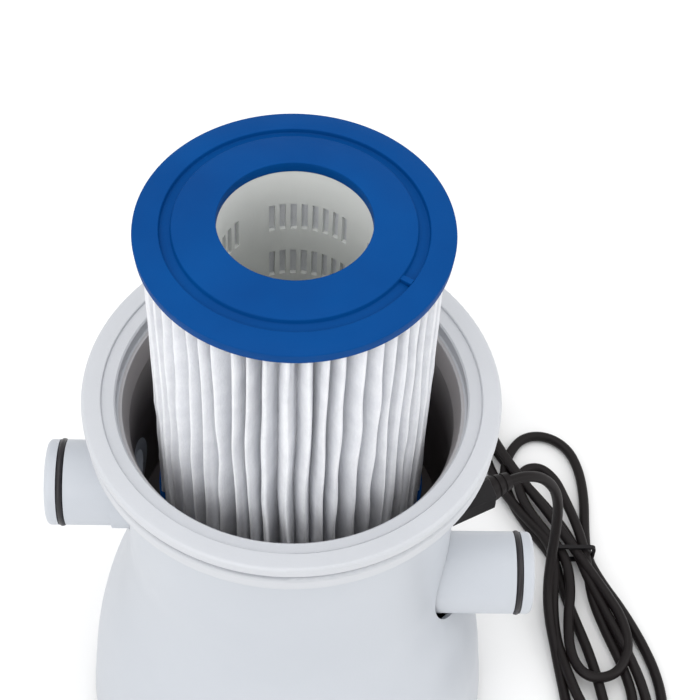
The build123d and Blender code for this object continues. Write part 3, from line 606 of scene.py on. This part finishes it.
# the mains lead, one spline from inside the boot, down to the floor and through the hank
cordPiece = {
    "diameter": 0.005,
    "exit": (0.0892, 0.0474, 0.0900),
    "length": 1.48,
    "order": 3,
    "steps": 10,  # between two points of the spline
    "roundness": 5,
    # down from the boot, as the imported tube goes, in millimetres
    "drop": [
        (89.2, 47.4, 90.0), (101.9, 54.2, 90.0), (114.2, 59.6, 83.4), (122.6, 61.6, 71.2),
        (126.4, 61.4, 56.4), (127.0, 58.4, 40.6), (126.0, 51.8, 25.2), (124.8, 41.0, 12.8),
        (125.4, 28.0, 7.4), (127.0, 15.2, 6.3),
    ],
    # the hank's strands and loops, as the cord runs through them
    "hank": [
        (128.2, 6.0, 4.4), (130.0, -8.0, 3.0), (131.6, -24.0, 2.8), (135.5, -40.0, 2.8),
        (143.0, -53.0, 2.8), (155.0, -57.6, 2.8), (167.0, -51.0, 2.8), (174.0, -36.0, 2.8),
        (176.4, -18.0, 2.8), (175.4, 0.0, 2.8), (170.0, 18.0, 2.8), (162.2, 36.0, 2.8),
        (153.2, 52.0, 2.8), (147.6, 66.0, 2.8), (148.0, 82.0, 2.8), (149.6, 100.0, 2.8),
        (148.6, 118.0, 2.8), (143.6, 132.0, 2.8), (133.0, 139.6, 2.8), (121.0, 138.6, 2.8),
        (112.6, 128.0, 2.8), (108.8, 113.0, 2.8), (112.0, 98.0, 2.8), (120.0, 82.0, 2.8),
        (131.0, 66.0, 2.8), (133.6, 50.0, 2.8), (137.4, 34.0, 3.2), (142.6, 14.0, 5.4),
        (146.0, -2.0, 5.6), (148.6, -16.0, 3.4), (152.0, -30.0, 2.8), (158.6, -39.6, 2.8),
        (166.6, -36.0, 2.8), (169.4, -22.0, 3.0), (167.4, -7.0, 5.6), (161.6, 10.0, 7.8),
        (154.6, 29.0, 7.2), (147.2, 48.0, 7.2), (142.4, 66.0, 7.4), (136.0, 82.0, 6.4),
        (127.0, 97.0, 5.2), (117.6, 111.0, 4.0), (109.0, 124.0, 3.2), (103.8, 135.6, 2.8),
        (99.6, 131.0, 2.8), (102.6, 117.0, 3.0), (109.0, 101.6, 4.6), (118.4, 86.0, 6.4),
        (129.2, 71.0, 7.6), (130.8, 56.0, 7.6), (128.0, 38.0, 6.6), (128.0, 19.0, 5.4),
        (131.4, 1.0, 7.4), (136.6, -15.0, 6.0), (143.6, -28.0, 5.4), (152.4, -32.6, 6.2),
        (160.0, -26.0, 5.6), (162.4, -12.0, 4.6), (158.8, 5.0, 4.8), (152.4, 24.0, 4.4),
        (147.4, 42.0, 5.0), (146.8, 58.0, 7.6), (145.4, 72.0, 7.6), (142.6, 85.0, 7.4),
        (139.2, 98.0, 5.6), (135.6, 112.0, 3.2), (128.2, 120.0, 2.8), (119.6, 117.6, 3.4),
        (115.0, 106.0, 7.6), (118.6, 92.0, 7.8), (127.0, 78.0, 7.6), (136.2, 64.0, 7.8),
        (137.6, 46.0, 7.8), (134.4, 28.0, 7.8), (133.6, 10.0, 8.2), (138.4, -1.6, 8.2),
        (147.8, -4.4, 8.4), (157.4, 0.6, 8.2), (162.6, 13.0, 8.4), (160.6, 28.0, 8.8),
        (154.0, 42.0, 8.8), (146.4, 56.0, 9.0), (139.0, 70.0, 9.0), (130.8, 86.0, 8.4),
        (122.6, 100.0, 8.0), (114.0, 114.0, 8.4), (107.4, 126.6, 8.6), (102.0, 139.0, 8.6),
    ],
}


def makeCord():
    points = [Vector(point) * 0.001 for point in cordPiece["drop"] + cordPiece["hank"]]
    curve = bpy.data.curves.new("mainsCord", "CURVE")
    curve.dimensions = "3D"
    spline = curve.splines.new("NURBS")
    spline.points.add(len(points) - 1)
    for place, point in zip(spline.points, points):
        place.co = (*point, 1.0)
    spline.order_u = cordPiece["order"]
    spline.use_endpoint_u = True
    spline.resolution_u = cordPiece["steps"]
    curve.bevel_depth = cordPiece["diameter"] / 2
    curve.bevel_resolution = cordPiece["roundness"]
    curve.use_fill_caps = True
    cord = bpy.data.objects.new("mainsCord", curve)
    bpy.context.scene.collection.objects.link(cord)
    curve.materials.append(finishes["cordSheath"])
    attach(cord, "root")
    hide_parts("power_cord", "cord_hank")
    return cord


cord = makeCord()
print("cord laid")

# the floor and the light
studio = {
    "floor": 0.90,
    "floorSize": 4.0,
    "floorGrain": 0.02,
    "sky": 0.85,
    "panels": [
        # name, place, size, strength
        ("overhead", (-0.15, -0.05, 1.5), 1.6, 9.0),
        ("front", (-0.7, -1.3, 1.0), 1.2, 8.0),
        ("side", (1.3, -0.2, 0.9), 0.9, 4.0),
    ],
    "aim": (0.0, 0.0, 0.18),
}


def makeStudio():
    floorMesh = bmesh.new()
    bmesh.ops.create_grid(floorMesh, x_segments=8, y_segments=8, size=studio["floorSize"])
    data = bpy.data.meshes.new("floor")
    floorMesh.to_mesh(data)
    floorMesh.free()
    floor = bpy.data.objects.new("floor", data)
    bpy.context.scene.collection.objects.link(floor)
    finish = Finish("floorPaper")
    grain = finish.noise(40.0, 3.0)
    tone = studio["floor"]
    paler = tone + studio["floorGrain"]
    finish.shade(
        Base_Color=finish.mixColour(grain, rgb(tone, tone, tone), rgb(paler, paler, paler)),
        Roughness=0.9,
        Specular_IOR_Level=0.1,
    )
    data.materials.append(finish.material)
    world = bpy.data.worlds.new("studio")
    world.use_nodes = True
    sky = world.node_tree.nodes["Background"].inputs
    sky["Color"].default_value = rgb(1.0, 1.0, 1.0)
    sky["Strength"].default_value = studio["sky"]
    bpy.context.scene.world = world
    for name, place, size, strength in studio["panels"]:
        light = bpy.data.lights.new(name, "AREA")
        light.size = size
        light.energy = strength
        lamp = bpy.data.objects.new(name, light)
        bpy.context.scene.collection.objects.link(lamp)
        lamp.location = place
        aim = Vector(studio["aim"]) - Vector(place)
        lamp.rotation_euler = aim.to_track_quat("-Z", "Y").to_euler()


makeStudio()
bpy.context.scene.view_settings.view_transform = "Standard"
print("studio lit")
